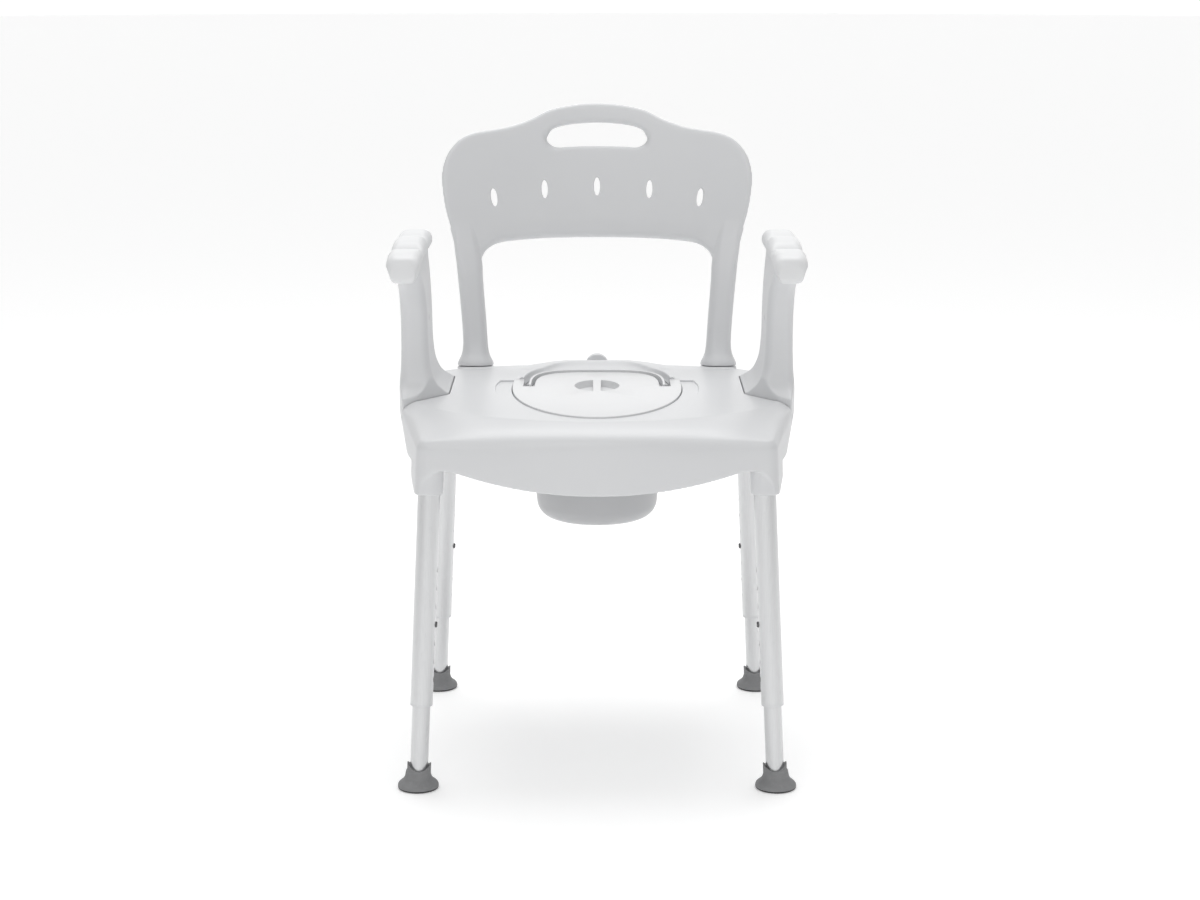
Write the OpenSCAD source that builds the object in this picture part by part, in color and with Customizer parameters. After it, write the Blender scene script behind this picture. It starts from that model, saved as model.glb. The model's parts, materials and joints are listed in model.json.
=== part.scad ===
// Height-adjustable shower and commode chair: a moulded seat on four telescopic legs, a lift-off
// backrest and two lift-off armrests, and a pan with a bail handle and a lid in the seat's opening.
// +X is to the right seen from the front, +Y to the rear, +Z up. The origin is on the floor.

/* [Seat] */
// Height of the seat's top above the floor, at the middle leg setting
seat_h = 497; // [420:1:610]
// Width of the seat at its widest
seat_w = 550; // [500:1:680]
// Depth of the seat, apron to rear edge
seat_d = 492; // [460:1:600]
// Wall thickness of the seat shell
seat_wall = 4; // [3:0.5:5]
// Height of the shell from its top to the leg collars' ends
shell_h = 97; // [90:1:120]
// Height of the apron at its middle, front and rear
apron_h = 92; // [75:1:96]
// Height of the side skirts
skirt_h = 60; // [55:1:70]
// Rise of the crest behind the opening
crest_rise = 7; // [3:0.5:9]

/* [Opening, pan and lid] */
// Width of the opening in the seat
opening_w = 240; // [200:1:290]
// Width between the outer walls of the two bail slots
slot_span = 208; // [170:1:250]
// Depth of the step that runs round the opening
ring_step = 1.5; // [1:0.5:3]
// Width of the step that runs round the opening
ring_w = 23; // [15:1:25]
// Width of the ledge that carries the pan
ledge_w = 9; // [6:0.5:10]
// Thickness of the lid's top
lid_t = 2.5; // [2:0.5:4]
// Height of the lid, top to the foot of its skirt
lid_h = 8.2; // [7:0.1:11]
// Thickness of the pan's flange
flange_t = 3; // [2:0.5:4]
// Wall thickness of the pan's bowl
bowl_wall = 2.5; // [2:0.5:3.5]
// Depth of the pan below the seat's top
pan_d = 175.5; // [130:0.5:190]
// Radius of the bowl's floor where its fillet starts
bowl_floor_r = 60; // [45:1:65]
// Thickness of the bail's strip
bail_t = 3; // [2:0.5:4]
// Height of the bail's strip
bail_h = 9.5; // [7:0.5:11]
// Radius of the bail's pivot pins
bail_pin_r = 1.75; // [1.5:0.05:2]

/* [Backrest] */
// Height of the backrest's top above the seat, along its lean
back_h = 386; // [330:1:460]
// Lean of the backrest, degrees
back_lean = 6; // [0:0.5:12]
// Distance between the two posts' centres at the seat
post_span = 358; // [330:1:370]
// Width of a post at the seat
post_w = 36; // [30:1:42]
// Radius of the panel's curve in plan
panel_r = 900; // [600:10:1500]
// Thickness of the panel's skin
panel_t = 5; // [4:0.5:7]
// Depth of the panel's rolled rim
rim_d = 17; // [14:1:22]
// Radius of the spigots under the posts
spigot_r = 12; // [9:0.5:14]
// Length of the spigots
spigot_l = 50; // [35:1:60]

/* [Armrests] */
// Height of the pads' tops above the seat
arm_h = 218; // [170:1:260]
// Width of a pad
pad_w = 46; // [40:1:52]
// Length of a pad
pad_l = 274; // [220:1:300]
// Radius of the tongues under an armrest
tongue_r = 9; // [6:0.5:11]
// Length of the tongues
tongue_l = 30; // [25:1:40]

/* [Legs] */
// Outward lean of the legs in both directions, degrees
leg_lean = 2.7; // [0:0.1:4]
// Outer radius of the outer tube
tube_r = 15; // [14:0.1:18]
// Outer radius of the inner tube
inner_r = 12; // [11:0.1:12.5]
// Wall thickness of both tubes
tube_wall = 1.5; // [1.2:0.1:2]
// Distance between two height settings
hole_pitch = 25; // [20:1:25]
// Radius of the snap button's pin
button_r = 4; // [3:0.1:4.5]
// Radius of a foot's sole
foot_r = 27.5; // [22:0.5:32]
// Height of a foot
foot_h = 36; // [30:0.5:37]

/* [Hidden] */

$fn = 64;
hull_fn = 32;

// Clearances
press_gap = 0.1;     // parts pressed or screwed together
slide_gap = 0.3;     // parts that slide apart or rest loosely
pin_gap = 0.05;      // the bail's pins in their lugs
opening_gap = 1;     // lid and pan flange in the seat's opening
pocket_gap = 1;      // armrest base in its pocket

white = [0.86, 0.87, 0.88];
light = [0.90, 0.91, 0.92];
alu = [0.78, 0.79, 0.80];
rubber = [0.45, 0.46, 0.47];
steel = [0.35, 0.35, 0.36];

// Seat shell: one row a level, from the top down. Each gives its depth below the top, how far the
// front, rear and sides stand in from the full outline, the radii of the front, rear and side
// edges, and how square the corners are.
shell_levels = [
    [0, 39, 16, 13, 420, 900, 556, 10],
    [12, 8, 3, 0, 700, 900, 700, 13],
    [35, 0, 0, 5, 1150, 1200, 889, 16],
    [shell_h, 0, 2, 34, 1150, 1200, 3000, 18]];
side_y = 25;         // where the seat is widest

// Opening: an egg with its widest point at opening_y
opening_y = 50;
opening_rx = opening_w / 2;
opening_front = seat_d / 2 - 73;
opening_rear = seat_d / 2 - 63;
slot_rx = slot_span / 2;
horn_y = opening_y + 56;    // the lid's horns and the full width of the opening end here
lid_rear = opening_rear - 21;
lid_rx = slot_rx - 16;
flange_top = -lid_h - slide_gap;
ledge_top = flange_top - flange_t - slide_gap;
ledge_t = 4;
bowl_y = 5;
bowl_top_r = opening_rx - ledge_w - 11;
bowl_side_r = bowl_floor_r + 24;
bail_mid_rx = slot_rx - 9.3;
bail_mid_rear = opening_rear - 10.5;
bail_low = flange_top + slide_gap + 0.3;
bail_y = opening_y + 9;
bail_z = bail_low + 2.1;
lug_x = slot_rx - 0.5;
lug_t = 4.5;
dish_y = opening_y + 6;
dish_rx = 31.5;
dish_ry = 43.5;
dish_d = 10;
grip_w = 11;

// Backrest, in its own leaning frame
post_x = post_span / 2;
back_y = seat_d / 2 - 29;
panel_bow = panel_r - sqrt(panel_r * panel_r - post_x * post_x);
panel_low = back_h - 198;
shoulder_v = back_h - 34;
post_d = 28;
boss_r = post_w / 2 + 9;
slot_v = back_h - 46;

// Armrests: the base fills a pocket in the seat's side
arm_inner = seat_w / 2 - 70;
arm_outer = seat_w / 2;
arm_front = -seat_d / 2 + 170;
arm_rear = seat_d / 2 - 114;
arm_floor = -25;
pad_x = seat_w / 2 - 18;
pad_low = arm_h - 25;
tongue_x = seat_w / 2 - 31;
tongue_ys = [arm_front + 80, arm_rear - 30];
plug_z = arm_h - 112;
plug_in = 42;        // from the side of the seat to the plug's face
plug_r = 3.9;
plug_l = 12;

// Legs, measured along their own axes from the floor
leg_x = seat_w / 2 - 58.5 + seat_h * tan(leg_lean);
leg_y = seat_d / 2 - 46.5 + seat_h * tan(leg_lean);
axis_scale = 1 / pow(cos(leg_lean), 2);
collar_low = (seat_h - shell_h) * axis_scale;
tube_low = 117;
tube_high = (seat_h - 37) * axis_scale;
sleeve_wall = 3.4;
sleeve_bore = tube_r + press_gap;
sleeve_r = sleeve_bore + sleeve_wall;
pillar_r = sleeve_r + 1.5;     // the shell's corners round the sleeves
button_s = 225;
settings = 3;        // height settings on each side of the middle one
inner_low = 8;
inner_high = button_s + 130;
inner_bore = inner_r - tube_wall;
button_out = tube_r + 2.2;
spring_t = 0.8;
spring_w = 8;
leaf = inner_bore - 2;
screw_r = 2;
screw_s = tube_high - 22;

// The overall box is centred on the origin, front to rear
front_most = max(leg_y + foot_r, seat_d / 2);
rear_most = back_y + back_h * sin(back_lean) + (panel_bow + rim_d - panel_t / 2) * cos(back_lean);
mid_y = (front_most - rear_most) / 2;

// ---- shared shapes -------------------------------------------------------------------------

function side(t) = t < 0 ? -1 : 1;

// An egg outline about (0, yc): front and rear half lengths and exponents, n points
function egg(rx, front, rear, p_front, p_rear, yc, n = 72) = [for (i = [0:n - 1])
    let (a = 360 * (i + 0.5) / n, p = sin(a) > 0 ? p_rear : p_front)
    [rx * side(cos(a)) * pow(abs(cos(a)), 2 / p),
        yc + (sin(a) > 0 ? rear : front) * side(sin(a)) * pow(abs(sin(a)), 2 / p)]];

module at_seat() {
    translate([0, mid_y, seat_h]) children();
}

module at_back() {
    at_seat() translate([0, back_y, 0]) rotate([-back_lean, 0, 0]) children();
}

module at_leg(sx, sy) {
    translate([0, mid_y, 0])
        mirror([sx < 0 ? 1 : 0, 0, 0])
            mirror([0, sy < 0 ? 1 : 0, 0])
                translate([leg_x, leg_y, 0])
                    rotate([0, -leg_lean, 0])
                        rotate([leg_lean, 0, 0])
                            children();
}

// Turns a shape's Z axis to a leg's inward side, -X in its own frame
module inward(s) {
    translate([0, 0, s]) rotate([0, -90, 0]) children();
}

module box_between(lo, hi) {
    translate(lo) cube(hi - lo);
}

// A thin rounded rectangle, for hulls
module slab(z, lo, hi, r) {
    translate([lo[0] + r, lo[1] + r, z])
        linear_extrude(0.5)
            offset(r = r, $fn = hull_fn)
                square([hi[0] - lo[0] - 2 * r, hi[1] - lo[1] - 2 * r]);
}

// ---- seat ----------------------------------------------------------------------------------

// One quarter of a unit square with rounded corners, corner to corner
function soft_quarter(p) = let (d = pow(0.5, 1 / p), steps = [0, 0.3, 0.55, 0.77, 0.9, 0.97]) concat(
    [for (t = steps) [pow(1 - pow(t * d, p), 1 / p), t * d]],
    [[d, d]],
    [for (i = [5:-1:1]) [steps[i] * d, pow(1 - pow(steps[i] * d, p), 1 / p)]]);

// The same quarter turned round to the full outline
function soft_square(p) = [for (turn = [0:3]) for (q = soft_quarter(p))
    [[q[0], q[1]], [-q[1], q[0]], [-q[0], -q[1]], [q[1], -q[0]]][turn]];

module shell_slab(level, inset, top, bottom) {
    front = seat_d / 2 - level[1] - inset;
    rear = seat_d / 2 - level[2] - inset;
    half = seat_w / 2 - level[3] - inset;
    translate([0, 0, bottom])
        linear_extrude(top - bottom)
            polygon([for (q = soft_square(level[7]))
                let (reach = q[1] < 0 ? front : rear, bow = q[1] < 0 ? level[4] : level[5])
                [q[0] * (half - pow(q[1] * reach - side_y, 2) / 2 / level[6]),
                    q[1] * (reach - pow(q[0] * half, 2) / 2 / bow)]]);
}

module shell_body() {
    last = len(shell_levels) - 1;
    hull() {
        for (i = [0:last]) {
            z = -shell_levels[i][0];
            shell_slab(shell_levels[i], 0, i == last ? z + 1 : z, i == last ? z : z - 1);
        }
        translate([0, -mid_y, -seat_h]) for (sx = [-1, 1], sy = [-1, 1]) at_leg(sx, sy)
            translate([0, 0, collar_low + 2]) cylinder(r = pillar_r, h = shell_h - 37, $fn = hull_fn);
    }
}

// The hollow under the shell's skin, open below
module shell_hollow() {
    last = len(shell_levels) - 1;
    hull() for (i = [0:last]) {
        z = -max(shell_levels[i][0], seat_wall);
        shell_slab(shell_levels[i], seat_wall, z, i == last ? z - 5 : z - 1);
    }
}

// The opening's outline, drawn in by inset: full width at the front, slot width at the rear
module opening_2d(inset) {
    intersection() {
        polygon(egg(opening_rx - inset, opening_front + opening_y - inset, seat_d, 2, 2, opening_y));
        translate([-seat_w / 2, -seat_d]) square([seat_w, seat_d + horn_y - inset]);
    }
    polygon(egg(slot_rx - inset, opening_front + opening_y - inset, opening_rear - opening_y - inset,
        2, 3.5, opening_y));
}

// The scooped wall behind the opening: drop thickens it into the shape that carries it
module scoop(drop) {
    lift = crest_rise + 1 - drop;
    far = seat_d / 2 - 24 - opening_y + drop / 2;
    hull() {
        translate([0, 0, flange_top - drop])
            linear_extrude(1)
                intersection() {
                    polygon(egg(slot_rx + drop, 1, opening_rear - opening_y + drop, 2, 3.5, opening_y));
                    translate([-seat_w / 2, opening_y + 20]) square(seat_w);
                }
        translate([0, 0, lift])
            linear_extrude(1)
                intersection() {
                    polygon(egg(slot_rx + 3 + drop, 1, far, 2, 2.6, opening_y));
                    translate([-seat_w / 2, opening_y + 20]) square(seat_w);
                }
    }
}

module rear_crest() {
    rear = seat_d / 2;
    hull() {
        slab(-5, [-132, rear - 80], [132, rear - 44], 10);
        slab(crest_rise - 3, [-72, rear - 52], [72, rear - 19], 12);
        slab(crest_rise - 0.5, [-52, rear - 40], [52, rear - 21], 8);
    }
}

module arm_pocket_2d(gap) {
    polygon([[arm_inner - gap, arm_rear + gap], [arm_inner - gap, arm_front + 66 - gap / 2],
        [arm_inner + 40 - gap / 2, arm_front + 15 - gap], [arm_outer + 1, arm_front - gap],
        [arm_outer + 1, arm_rear + gap]]);
}

// What is cut away below the aprons and skirts
module hem_cut() {
    arc_r = 637;
    reach = leg_x - seat_h * tan(leg_lean) - 12;
    corner_y = seat_d / 2 - 74;
    notch_r = 28;
    hem_top = -apron_h + 29;
    difference() {
        box_between([-reach, -seat_d, -shell_h - 1], [reach, seat_d, hem_top]);
        translate([0, 0, -apron_h + arc_r]) rotate([90, 0, 0])
            cylinder(r = arc_r, h = 3 * seat_d, center = true);
    }
    box_between([-seat_w, -corner_y, -shell_h - 1], [seat_w, corner_y, -skirt_h]);
    // Rounded notches in the skin beside the legs' sleeves
    for (sx = [-1, 1]) translate([sx * reach, 0, hem_top - notch_r]) {
        rotate([90, 0, 0]) cylinder(r = notch_r, h = 3 * seat_d, center = true);
        translate([0, 0, -notch_r / 2]) cube([2 * notch_r, 3 * seat_d, notch_r], center = true);
    }
}

// Pocket walls, tongue sockets and leg sleeves, which the shell's envelope trims
module inner_works() {
    at_seat() for (m = [0, 1]) mirror([m, 0, 0]) {
        translate([0, 0, arm_floor - 8]) linear_extrude(-arm_floor + 8) arm_pocket_2d(5);
        for (y = tongue_ys)
            translate([tongue_x, y, arm_floor - tongue_l - 4]) cylinder(r = tongue_r + 4, h = tongue_l + 4);
    }
    for (sx = [-1, 1], sy = [-1, 1])
        at_leg(sx, sy) translate([0, 0, collar_low - 2]) cylinder(r = sleeve_r, h = shell_h);
}

// Rounded grip tab on the rear edge
module grip_tab() {
    tab_r = 17;
    translate([0, seat_d / 2 + 7, -4]) rotate([90, 0, 0]) cylinder(r = tab_r, h = 13);
    box_between([-tab_r, seat_d / 2 - 6, -24], [tab_r, seat_d / 2 + 7, -4]);
}

module seat() {
    color(white) difference() {
        union() {
            at_seat() difference() {
                shell_body();
                shell_hollow();
                hem_cut();
            }
            intersection() {
                at_seat() shell_body();
                inner_works();
            }
            at_seat() {
                rear_crest();
                grip_tab();
                scoop(4);
                translate([0, 0, ledge_top - ledge_t])
                    linear_extrude(-ledge_top + ledge_t - 0.5) opening_2d(-3);
            }
            // Bosses for the backrest's spigots
            for (sx = [-1, 1])
                at_back() translate([sx * post_x, 0, -spigot_l - 3])
                    cylinder(r = boss_r, h = spigot_l + 3 - slide_gap);
        }
        at_seat() {
            // Step round the opening, fading out beside the slots
            translate([0, 0, -ring_step]) linear_extrude(10) intersection() {
                polygon(egg(opening_rx + ring_w, opening_front + opening_y + 30, 160, 2, 2, opening_y));
                translate([-seat_w / 2, -seat_d]) square([seat_w, seat_d + horn_y - 10]);
            }
            // Well for lid and pan, then the hole through the ledge
            translate([0, 0, ledge_top]) linear_extrude(30) opening_2d(0);
            translate([0, 0, -shell_h]) linear_extrude(shell_h) opening_2d(ledge_w);
            scoop(0);
            // Armrest pockets and their sockets
            for (m = [0, 1]) mirror([m, 0, 0]) {
                translate([0, 0, arm_floor]) linear_extrude(60) arm_pocket_2d(pocket_gap);
                for (y = tongue_ys)
                    translate([tongue_x, y, arm_floor - tongue_l - 1])
                        cylinder(r = tongue_r + slide_gap, h = tongue_l + 2);
            }
        }
        for (sx = [-1, 1]) at_back()
            translate([sx * post_x, 0, -spigot_l - 1]) cylinder(r = spigot_r + slide_gap, h = spigot_l + 4);
        for (sx = [-1, 1], sy = [-1, 1]) at_leg(sx, sy) {
            translate([0, 0, collar_low - 40])
                cylinder(r = sleeve_bore, h = tube_high - collar_low + 40 + press_gap);
            inward(screw_s) cylinder(r = screw_r + press_gap, h = sleeve_r + 1);
            inward(screw_s) translate([0, 0, sleeve_r - 0.6]) cylinder(r = 2 * screw_r + 0.5, h = 12);
        }
    }
}

// ---- pan, bail and lid ---------------------------------------------------------------------

module bowl_2d(grow, top) {
    // Half section: floor, fillet and a wall that widens to the mouth
    floor_z = -pan_d - grow;
    fillet = bowl_side_r - bowl_floor_r;
    polygon(concat([[0, top], [0, floor_z]],
        [for (a = [0:9:81])
            [bowl_floor_r + (fillet + grow) * sin(a), floor_z + (fillet + grow) * (1 - cos(a))]],
        [[bowl_top_r + grow, flange_top - flange_t], [bowl_top_r + grow, top]]));
}

module pan() {
    color(light) at_seat() difference() {
        union() {
            translate([0, 0, flange_top - flange_t]) linear_extrude(flange_t) opening_2d(opening_gap);
            translate([0, bowl_y, 0]) rotate_extrude($fn = 96) bowl_2d(0, flange_top - 1);
            for (sx = [-1, 1])
                translate([sx * (lug_x + lug_t / 2), bail_y, flange_top + 2.6])
                    cube([lug_t, 11, 5.6], center = true);
        }
        translate([0, bowl_y, 0]) rotate_extrude($fn = 96) bowl_2d(-bowl_wall, flange_top + 1);
        // Slots that the bail's arms swing in, and the bores for its pins
        for (sx = [-1, 1]) {
            translate([sx * (lug_x - 6), opening_y + 27, flange_top]) cube([11, 54, 20], center = true);
            translate([sx * lug_x, bail_y, bail_z]) rotate([0, 90, 0])
                cylinder(r = bail_pin_r + pin_gap, h = 40, center = true);
        }
    }
}

module pan_bail() {
    half_t = bail_t / 2;
    color(light) at_seat() {
        difference() {
            translate([0, 0, bail_low]) linear_extrude(bail_h) difference() {
                polygon(egg(bail_mid_rx + half_t, 1, bail_mid_rear - opening_y + half_t, 2, 3.5, opening_y));
                polygon(egg(bail_mid_rx - half_t, 2, bail_mid_rear - opening_y - half_t, 2, 3.5, opening_y));
                translate([-seat_w / 2, opening_y - 40]) square([seat_w, 45]);
            }
            // Rounded feet of the two arms
            translate([0, bail_y, bail_z]) rotate([0, 90, 0]) difference() {
                cube([20, 10, seat_w], center = true);
                cylinder(r = 4.4, h = seat_w + 1, center = true);
                translate([-seat_w / 2 - 1, 0, -seat_w]) cube(2 * seat_w);
                translate([-14, 0, 0]) cube([20, 20, seat_w + 1], center = true);
            }
        }
        for (sx = [-1, 1])
            translate([sx * (bail_mid_rx + 6.2), bail_y, bail_z]) rotate([0, 90, 0])
                cylinder(r = bail_pin_r, h = 12.6, center = true);
    }
}

// The lid's outline: a wide front, a narrow rear inside the bail, and two short horns outside it
module lid_2d(inset) {
    edge = opening_gap + inset;
    intersection() {
        opening_2d(edge);
        union() {
            translate([-seat_w / 2, -seat_d]) square([seat_w, seat_d + opening_y - inset]);
            for (m = [0, 1]) mirror([m, 0, 0])
                translate([slot_rx + inset, 0]) square([seat_w, horn_y - edge]);
            polygon(egg(lid_rx - inset, 100, lid_rear - opening_y - inset, 2, 3.5, opening_y));
        }
    }
}

module lid() {
    dish = egg(dish_rx, dish_ry, dish_ry, 2, 2, dish_y);
    dish_outer = egg(dish_rx + 2, dish_ry + 2, dish_ry + 2, 2, 2, dish_y);
    color(light) at_seat() difference() {
        union() {
            translate([0, 0, -lid_t]) linear_extrude(lid_t) lid_2d(0);
            translate([0, 0, -lid_h]) linear_extrude(lid_h) difference() {
                lid_2d(0);
                lid_2d(2);
            }
            translate([0, 0, -dish_d - 2]) linear_extrude(dish_d + 1) polygon(dish_outer);
        }
        translate([0, 0, -dish_d]) linear_extrude(dish_d + 1) difference() {
            polygon(dish);
            translate([-grip_w / 2, -seat_d]) square([grip_w, 2 * seat_d]);
        }
        // Room for the pan's lugs under the horns
        for (sx = [-1, 1])
            translate([sx * (lug_x + lug_t / 2), bail_y, -lid_t - 10])
                cube([lug_t + 4, 24, 20], center = true);
    }
}

// ---- backrest ------------------------------------------------------------------------------

module back_2d() {
    arch_r = 208;
    low_r = 1660;
    offset(r = -28, $fn = 48) offset(delta = 28) {
        intersection() {
            translate([0, back_h - arch_r]) circle(r = arch_r, $fn = 160);
            translate([-130, shoulder_v - 30]) square([260, 100]);
        }
        offset(r = 36, $fn = 48) offset(delta = -36) difference() {
            polygon([for (sx = [-1, 1]) for (p = sx < 0 ? [0, 1, 2, 3] : [3, 2, 1, 0])
                [sx * [post_x + 33, post_x + 45, post_x + 52, 120][p],
                    [panel_low - 12, panel_low + 40, shoulder_v - 15, shoulder_v][p]]]);
            translate([0, panel_low - low_r]) circle(r = low_r, $fn = 720);
        }
        for (sx = [-1, 1])
            polygon([for (p = [[-post_w / 2, 8], [post_w / 2, 8], [27, panel_low - 36],
                [36, panel_low + 10], [-8, panel_low + 10], [-12, panel_low - 36]])
                [sx * (post_x + p[0]), p[1]]]);
    }
}

module carry_slot_2d(grow) {
    slot_r = 300;
    intersection() {
        translate([0, slot_v + 16 - slot_r]) circle(r = slot_r + grow, $fn = 360);
        difference() {
            offset(r = 17 + grow, $fn = 48) translate([-57, slot_v - 3]) square([114, 12]);
            translate([0, slot_v - 19 - 1000]) circle(r = 1000 - grow, $fn = 720);
        }
    }
}

// Extrudes a front view of the backrest through its depth
module through_back() {
    translate([0, 100, 0]) rotate([90, 0, 0]) linear_extrude(200) children();
}

module panel_sheet(front, rear) {
    translate([0, panel_bow - panel_r, 0]) difference() {
        cylinder(r = panel_r + rear, h = back_h + 10, $fn = 720);
        translate([0, 0, -1]) cylinder(r = panel_r - front, h = back_h + 12, $fn = 720);
    }
}

// One level of a post: its middle, half width, front, rear and corner radius
module post_slab(v, middle, half_w, front, rear, r) {
    slab(v, [middle - half_w, front], [middle + half_w, rear], r);
}

module backrest() {
    drain_xs = [0, 77, 151];
    drain_vs = [back_h - 123, back_h - 127, back_h - 139];
    drain_tilts = [0, 2, 8];
    half_d = post_d / 2;
    neck_v = panel_low - 36;     // where a post starts to widen into the panel
    neck_x = post_x + 7.5;
    color(white) at_back() {
        difference() {
            union() {
                intersection() {
                    panel_sheet(panel_t / 2, rim_d - panel_t / 2);
                    through_back() back_2d();
                }
                for (sx = [-1, 1]) {
                    hull() {
                        post_slab(8, sx * post_x, post_w / 2, -half_d, half_d, 10);
                        post_slab(neck_v, sx * neck_x, 19, -half_d + 2, half_d, 10);
                    }
                    hull() {
                        post_slab(neck_v, sx * neck_x, 19, -half_d + 2, half_d, 10);
                        post_slab(panel_low + 60, sx * (post_x + 16), 12, -3, half_d - 3, 4);
                    }
                }
            }
            // The hollow behind the panel's skin, inside its rim
            intersection() {
                panel_sheet(-panel_t / 2, rim_d + 20);
                through_back() difference() {
                    offset(delta = -14) back_2d();
                    translate([-seat_w, -100]) square([2 * seat_w, panel_low + 113]);
                    carry_slot_2d(9);
                }
            }
            through_back() carry_slot_2d(0);
            for (sx = [-1, 1], i = [0:2])
                translate([sx * drain_xs[i], 100, drain_vs[i]]) rotate([90, sx * drain_tilts[i], 0])
                    linear_extrude(200) polygon(egg(4.5, 13, 13, 2, 2, 0, 24));
        }
        for (sx = [-1, 1]) translate([sx * post_x, 0, 0]) {
            cylinder(r1 = boss_r, r2 = post_w / 2 - 3, h = 26);
            translate([0, 0, -spigot_l]) cylinder(r = spigot_r, h = spigot_l + 4);
        }
    }
}

// ---- armrests ------------------------------------------------------------------------------

// The right armrest; the left one is its mirror image
module armrest() {
    post_front = arm_front + 36;
    post_rear = arm_rear - 50;
    side_x = seat_w / 2;
    difference() {
        union() {
            translate([0, 0, arm_floor + slide_gap]) linear_extrude(-arm_floor + 1.5) intersection() {
                arm_pocket_2d(0);
                translate([0, -seat_d]) square([side_x, 2 * seat_d]);
            }
            hull() {
                slab(0, [arm_inner + 10, arm_front + 22], [side_x, arm_rear - 3], 10);
                slab(32, [side_x - 46, post_front], [side_x - 5, post_rear + 14], 12);
            }
            hull() {
                slab(32, [side_x - 46, post_front], [side_x - 5, post_rear + 14], 12);
                slab(75, [side_x - 41, post_front + 2], [side_x - 5, post_rear - 4], 12);
            }
            hull() {
                slab(75, [side_x - 41, post_front + 2], [side_x - 5, post_rear - 4], 12);
                slab(pad_low - 34, [side_x - 37, post_front - 4], [side_x - 2, post_rear], 12);
            }
            hull() {
                slab(pad_low - 34, [side_x - 37, post_front - 4], [side_x - 2, post_rear], 12);
                slab(pad_low - 0.5, [pad_x - 16, -pad_l / 2 + 42], [pad_x + 16, pad_l / 2 - 22], 10);
            }
            for (y = tongue_ys)
                translate([tongue_x, y, arm_floor - tongue_l]) cylinder(r = tongue_r, h = tongue_l + 4);
        }
        // Blind hole for the plug on the inner face
        translate([side_x - plug_in, 0, plug_z]) rotate([0, 90, 0])
            cylinder(r = plug_r + press_gap, h = plug_l);
    }
}

module armrest_plug() {
    translate([seat_w / 2 - plug_in, 0, plug_z]) rotate([0, 90, 0]) cylinder(r = plug_r, h = plug_l);
}

module armrest_pad() {
    lo = pad_x - pad_w / 2;
    hi = pad_x + pad_w / 2;
    third = pad_l / 3;
    // Three lobes with shallow valleys between them
    for (i = [0:2]) {
        y0 = -pad_l / 2 + i * third;
        drop = [8, 1, 2][i];
        hull() {
            slab(pad_low + 0.2, [lo, y0 - (i > 0 ? 4 : 0)], [hi, y0 + third], 10);
            slab(pad_low + 13, [lo, y0 - (i > 0 ? 4 : 0)], [hi, y0 + third], 12);
            slab(arm_h - 0.5 - drop, [lo + 10, y0 + 10], [hi - 8, y0 + third - 10], 10);
        }
    }
    // The nose that hangs over the front end
    hull() {
        slab(pad_low - 23, [lo + 10, -pad_l / 2 + 2], [hi - 6, -pad_l / 2 + 26], 8);
        slab(pad_low + 2, [lo, -pad_l / 2], [hi, -pad_l / 2 + 40], 10);
    }
}

// ---- legs ----------------------------------------------------------------------------------

module outer_tube() {
    color(alu) difference() {
        translate([0, 0, tube_low]) cylinder(r = tube_r, h = tube_high - tube_low);
        translate([0, 0, tube_low - 1]) cylinder(r = tube_r - tube_wall, h = tube_high - tube_low + 2);
        for (i = [-settings:settings])
            inward(button_s + i * hole_pitch) cylinder(r = button_r + slide_gap, h = tube_r + 1);
        inward(screw_s) cylinder(r = screw_r + press_gap, h = tube_r + 1);
    }
}

module bushing() {
    color(light) difference() {
        union() {
            translate([0, 0, tube_low - 2.5]) cylinder(r = tube_r, h = 2.5);
            translate([0, 0, tube_low - 2.5]) cylinder(r = tube_r - tube_wall - press_gap, h = 24);
        }
        translate([0, 0, tube_low - 4]) cylinder(r = inner_r + slide_gap, h = 28);
    }
}

module inner_tube() {
    color(alu) difference() {
        translate([0, 0, inner_low]) cylinder(r = inner_r, h = inner_high - inner_low);
        translate([0, 0, inner_low - 1]) cylinder(r = inner_bore, h = inner_high - inner_low + 2);
        inward(button_s) cylinder(r = button_r + slide_gap, h = inner_r + 1);
    }
}

// The sole lies flat on the floor and the cup stands along the leg
module foot(sx, sy) {
    color(rubber) difference() {
        union() {
            translate([sx * leg_x, sy * leg_y + mid_y, 0]) rotate_extrude()
                polygon([[0, 0], [foot_r - 1, 0], [foot_r, 1.5], [foot_r, 5], [foot_r - 3, 9],
                    [foot_r - 8, 12.5], [17, 17], [16, 22], [0, 22]]);
            intersection() {
                at_leg(sx, sy) cylinder(r = inner_r + 4, h = foot_h);
                translate([-seat_w, -seat_d, 1]) cube([2 * seat_w, 2 * seat_d, foot_h]);
            }
        }
        at_leg(sx, sy) {
            translate([0, 0, inner_low]) cylinder(r = inner_r + press_gap, h = foot_h);
            // Scalloped rim: high at the sides, low at front and rear
            translate([0, 0, foot_h + 9]) rotate([90, 0, 0]) cylinder(r = 19, h = 60, center = true);
        }
    }
}

// Pin and flange, cut to the inner tube's curve
module snap_button() {
    color(steel) {
        inward(button_s) translate([0, 0, leaf + spring_t / 2]) {
            cylinder(r = button_r, h = button_out - leaf - spring_t / 2 - 1);
            translate([0, 0, button_out - leaf - spring_t / 2 - 1]) cylinder(r1 = button_r, r2 = button_r - 1, h = 1);
        }
        intersection() {
            inward(button_s) translate([0, 0, leaf + spring_t / 2]) cylinder(r = button_r + 1.4, h = 3);
            translate([0, 0, button_s - 20]) cylinder(r = inner_bore - slide_gap, h = 40);
        }
    }
}

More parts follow.
